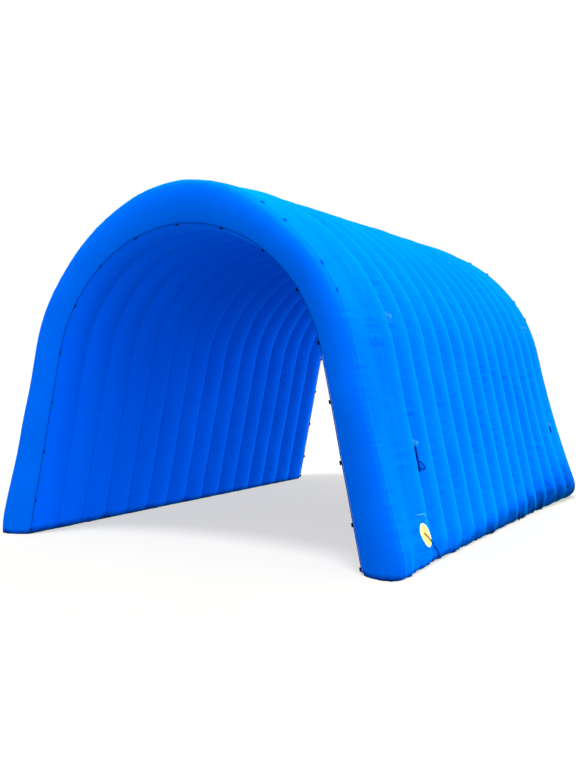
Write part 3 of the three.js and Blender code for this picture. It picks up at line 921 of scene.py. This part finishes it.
def smooth_path(points, count):
    """Evenly spread points on a smooth curve through the given ones, and its length."""
    points = np.asarray(points, float)
    padded = np.concatenate([[2 * points[0] - points[1]], points, [2 * points[-1] - points[-2]]])
    t = np.linspace(0, 1, CURVE_STEPS, endpoint=False)[:, None]
    rows = []
    for i in range(1, len(padded) - 2):
        a, b, c, d = padded[i - 1:i + 3]
        rows.append(0.5 * (2 * b + (c - a) * t + (2 * a - 5 * b + 4 * c - d) * t ** 2
                           + (3 * b - a - 3 * c + d) * t ** 3))
    line = np.concatenate(rows + [points[-1:]])
    length = np.concatenate([[0], np.cumsum(np.linalg.norm(np.diff(line, axis=0), axis=1))])
    at = np.linspace(0, length[-1], count)
    return np.stack([np.interp(at, length, line[:, i]) for i in range(3)], -1), length[-1]


def square_to(path, way):
    """A way turned square to a path at each of its points, and the direction square to both."""
    tangent = unit(np.gradient(path, axis=0))
    way = np.asarray(way, float)
    one = unit(way - tangent * (tangent @ way)[:, None])
    return one, np.cross(tangent, one)


def band(name, centres, side_way, width, thickness, material, node):
    """A flat band along centre points, its width along side_way. Returns it with its path and length."""
    path, length = smooth_path(centres, BAND_ROWS_EACH * len(centres))
    wide, face = square_to(path, side_way)
    form = BAND_FORM * (width, thickness)
    grid = path[:, None] + form[None, :, :1] * wide[:, None] + form[None, :, 1:] * face[:, None]
    at = np.linspace(0, length, len(path))[:, None]
    across = form[None, :, 0]
    values = dict(run=at + 0 * across, across=across + 0 * at, seam=np.minimum(at, length - at) + 0 * across)
    return dress(loft_object(name, grid, material, "band", **values), "webbing", node), path, length


def tube(name, path, radius, sides, run, material):
    """A round tube along a path, with the run along it for its weave."""
    one, two = square_to(path, TUBE_WAY)
    angle = (2 * math.pi * np.arange(sides) / sides)[None]
    ring = np.cos(angle)[..., None] * one[:, None] + np.sin(angle)[..., None] * two[:, None]
    values = dict(run=run[:, None] + 0 * angle, across=angle * radius + 0 * run[:, None])
    return loft_object(name, path[:, None] + radius * ring, material, "cord", **values)


def wall_point(place, y, lift, side=RIGHT):
    """A point at a lift above the level of the outer seams."""
    return vault(side, place, y, outer_level(place, y) + lift)


def skin_point(place, y, lift):
    """A point at a lift above the finished outer cloth of the right wall."""
    return vault(RIGHT, place, y, cloth_offset(place, y) + lift)


def anchor_tab(name, side, seam, place):
    """A short tongue of doubled cloth that stands out of a seam."""
    y = seam_y(seam)
    root, tip = wall_point(place, y, ANCHOR_ROOT, side), wall_point(place, y, ANCHOR_TIP, side)
    away = unit(tip - root)
    along = np.cross(ALONG_TUNNEL, away)
    reach, half_width = ANCHOR_REACH[:, None], ANCHOR_HALF_WIDTH[:, None]
    wide, thick = (BAND_FORM * (2, ANCHOR_THICKNESS)).T[:, None]
    bend = ANCHOR_BEND * (reach / (ANCHOR_TIP - ANCHOR_ROOT)) ** 2
    grid = (root + reach[..., None] * away + (wide * half_width)[..., None] * along
            + (thick + bend)[..., None] * np.array(ALONG_TUNNEL))
    off_edge = half_width * (1 - np.abs(wide)) / 2
    values = dict(run=reach + 0 * wide, across=wide * half_width, seam=ANCHOR_OFF_SEAM + off_edge,
                  low=NO_SHADE + 0 * reach * wide)
    node = name + "_tab_" + SIDE_WORDS[side]
    dress(loft_object(node + "_cloth", grid, ANCHOR, "band", **values), "cloth", node)


for key, (seam_number, at_place) in ANCHORS.items():
    for which in (RIGHT, LEFT):
        anchor_tab(key, which, seam_number, at_place)


# The front strap hangs in its seam and ends in a thin cord loop. The rear strap is a short stub.
seam_number, at_place = ANCHORS["front_lower"]
strap_y = seam_y(seam_number)
strap_points = [wall_point(below(at_place, drop), strap_y + sway, STRAP_LIFT)
                for drop, sway in zip(FRONT_STRAP_DROPS, FRONT_STRAP_SWAY)]
front_strap, strap_path, strap_length = band(
    "front_strap_webbing", strap_points, ALONG_TUNNEL, STRAP_WIDTH, STRAP_THICKNESS, STRAP_BLUE,
    "front_strap")

loop_points = [skin_point(below(at_place, drop), strap_y + aside, LOOP_LIFT) for aside, drop in LOOP]
loop_path, loop_length = smooth_path(loop_points, LOOP_ROWS)
loop_run = np.linspace(0, loop_length, LOOP_ROWS)
front_loop = tube("front_strap_cord", loop_path, LOOP_RADIUS, LOOP_SIDES, loop_run, STRAP_BLUE)
dress(front_loop, "webbing", "front_strap_loop")

seam_number, at_place = ANCHORS["rear_lower"]
rear_points = [wall_point(below(at_place, drop), seam_y(seam_number), STRAP_LIFT)
               for drop in REAR_STRAP_DROPS]
band("rear_strap_webbing", rear_points, ALONG_TUNNEL, STRAP_WIDTH, STRAP_THICKNESS, STRAP_BLUE, "rear_strap")

# The ground tie and the ground straps.
patch_y = seam_y(PATCH_SEAM)
tie_points = [skin_point(place_at_height(height), patch_y + aside, TIE_LIFT) for aside, height in TIE]
ground_tie, tie_path, tie_length = band(
    "ground_tie_webbing", tie_points, (0, 1, 1), TIE_WIDTH, TIE_THICKNESS, NAVY, "ground_tie")

for word in SIDE_WORDS.values():
    low, high = (Vector(corner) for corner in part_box("ground_strap_" + word))
    x, y = (low.x + high.x) / 2, (low.y + high.y) / 2
    points = [(x, y + GROUND_STRAP_SWAY * math.sin(GROUND_STRAP_TURN * t), low.z + (high.z - low.z) * (1 - t))
              for t in GROUND_STRAP_STEPS]
    band("ground_strap_%s_webbing" % word, points, ALONG_TUNNEL, STRAP_WIDTH, STRAP_THICKNESS, NAVY,
         "ground_strap_" + word)


# The oval patch lies over the crown of its chamber.

def oval_patch():
    angle = 2 * math.pi * np.arange(PATCH_SIDES) / PATCH_SIDES
    long, short = PATCH_LONG * np.cos(angle), PATCH_SHORT * np.sin(angle)
    under, edge, over = PATCH_LIFTS
    rings = np.linspace(*PATCH_RING_SPAN, PATCH_RINGS)
    loops = [(r, under) for r in rings] + [(1.0, edge)] + [(r, over) for r in rings[::-1]]
    grid = []
    for r, lift in loops:
        y = patch_y + PATCH_ASIDE + r * (long * math.cos(PATCH_TILT) + short * math.sin(PATCH_TILT))
        height = PATCH_HEIGHT + r * (short * math.cos(PATCH_TILT) - long * math.sin(PATCH_TILT))
        grid.append([skin_point(a, b, lift) for a, b in zip(place_at_height(height), y)])
    grid = np.array(grid)
    radius = np.repeat([r for r, lift in loops], PATCH_SIDES)
    values = dict(radius=radius, run=grid[..., 2], across=grid[..., 1])
    dress(loft_object("oval_patch_cloth", grid, patch_material(), "band", **values), "patch", "oval_patch")


oval_patch()


# Pale zigzag stitching: two short bars beside the root of every anchor on the right wall, and the corner over
# the patch.

def zigzag(name, corners):
    """Thread sewn back and forth along a line of (place, y) corners on the right wall."""
    corners = np.array(corners, float) * (LEG_RUN, 1)
    reach = np.concatenate([[0], np.cumsum(np.linalg.norm(np.diff(corners, axis=0), axis=1))])
    at = np.linspace(0, reach[-1], int(2 * reach[-1] / ZIGZAG_PITCH) + 2)
    line = np.stack([np.interp(at, reach, corners[:, i]) for i in (0, 1)], -1)
    way = unit(np.gradient(line, axis=0))
    swing = (np.arange(len(at)) % 2 - 0.5) * ZIGZAG_WIDTH
    line += swing[:, None] * np.stack([-way[:, 1], way[:, 0]], -1)
    path = np.array([skin_point(p / LEG_RUN, y, THREAD_RADIUS + THREAD_LIFT) for p, y in line])
    run = THREAD_STEP * np.arange(len(path))
    dress(tube(name, path, THREAD_RADIUS, THREAD_SIDES, run, THREAD), "webbing")


for key, (seam_number, at_place) in ANCHORS.items():
    for word, aside in (("ahead", -ANCHOR_STITCH_ASIDE), ("behind", ANCHOR_STITCH_ASIDE)):
        zigzag("%s_stitching_%s" % (key, word), [
            (below(at_place, drop), seam_y(seam_number) + aside)
            for drop in (-ANCHOR_STITCH_HALF, ANCHOR_STITCH_HALF)
        ])
zigzag("corner_stitching", [(place_at_height(height), patch_y + aside) for aside, height in CORNER_STITCHES])


# Floor, light and background.
FLOOR_HALF = 60
FLOOR_DROP = 0.0005
floor_mesh = bpy.data.meshes.new("floor")
floor_corners = [(-FLOOR_HALF, -FLOOR_HALF, 0), (FLOOR_HALF, -FLOOR_HALF, 0),
                 (FLOOR_HALF, FLOOR_HALF, 0), (-FLOOR_HALF, FLOOR_HALF, 0)]
floor_mesh.from_pydata(floor_corners, [], [(0, 1, 2, 3)])
floor_mesh.materials.append(floor_material())
floor = bpy.data.objects.new("floor", floor_mesh)
floor.location.z = -FLOOR_DROP
bpy.context.scene.collection.objects.link(floor)

# Lamps light all but the floor, or nothing but the floor.
RECEIVERS = {}
for floor_state in ("EXCLUDE", "INCLUDE"):
    RECEIVERS[floor_state] = bpy.data.collections.new("floor_" + floor_state.lower())
    RECEIVERS[floor_state].objects.link(floor)
    RECEIVERS[floor_state].collection_objects[0].light_linking.link_state = floor_state


def lamp_object(name, lamp, towards, floor_state):
    """Hangs a lamp that shines from the direction towards."""
    obj = bpy.data.objects.new(name, lamp)
    obj.rotation_euler = Vector(towards).to_track_quat("Z", "Y").to_euler()
    obj.light_linking.receiver_collection = RECEIVERS[floor_state]
    bpy.context.scene.collection.objects.link(obj)
    return obj


def sun(name, towards, strength, softness, floor_state="EXCLUDE"):
    lamp = bpy.data.lights.new(name, "SUN")
    lamp.energy = strength
    lamp.angle = math.radians(softness)
    lamp_object(name, lamp, towards, floor_state)


def area(name, place, aim, size, watts):
    lamp = bpy.data.lights.new(name, "AREA")
    lamp.size = size
    lamp.energy = watts
    lamp_object(name, lamp, Vector(place) - Vector(aim), "EXCLUDE").location = place


sun("key_light", (0.085, 0.520, 0.850), strength=9.4, softness=24)
sun("top_light", (-0.285, -0.120, 0.951), strength=3.1, softness=40)
sun("right_light", (0.884, -0.214, 0.417), strength=1.7, softness=40)
sun("front_light", (0.600, -0.800, 0.050), strength=1.3, softness=40)
sun("rear_light", (0.510, 0.837, 0.200), strength=2.6, softness=30)
sun("floor_light", (0.06, -0.30, 0.95), strength=5.0, softness=14, floor_state="INCLUDE")
area("near_light", place=(-1.5, -5.5, 4.5), aim=(-0.6, -2.4, 2.3), size=2.0, watts=56.0)
area("roof_light", place=(1.3, -2.1, 4.9), aim=(0.5, -2.2, 2.8), size=1.2, watts=38.0)

world = bpy.data.worlds.new("studio")
world.use_nodes = True
world.node_tree.nodes["Background"].inputs["Color"].default_value = (1.0, 1.0, 1.0, 1)
world.node_tree.nodes["Background"].inputs["Strength"].default_value = 1.0
bpy.context.scene.world = world
bpy.context.scene.view_settings.view_transform = "Standard"
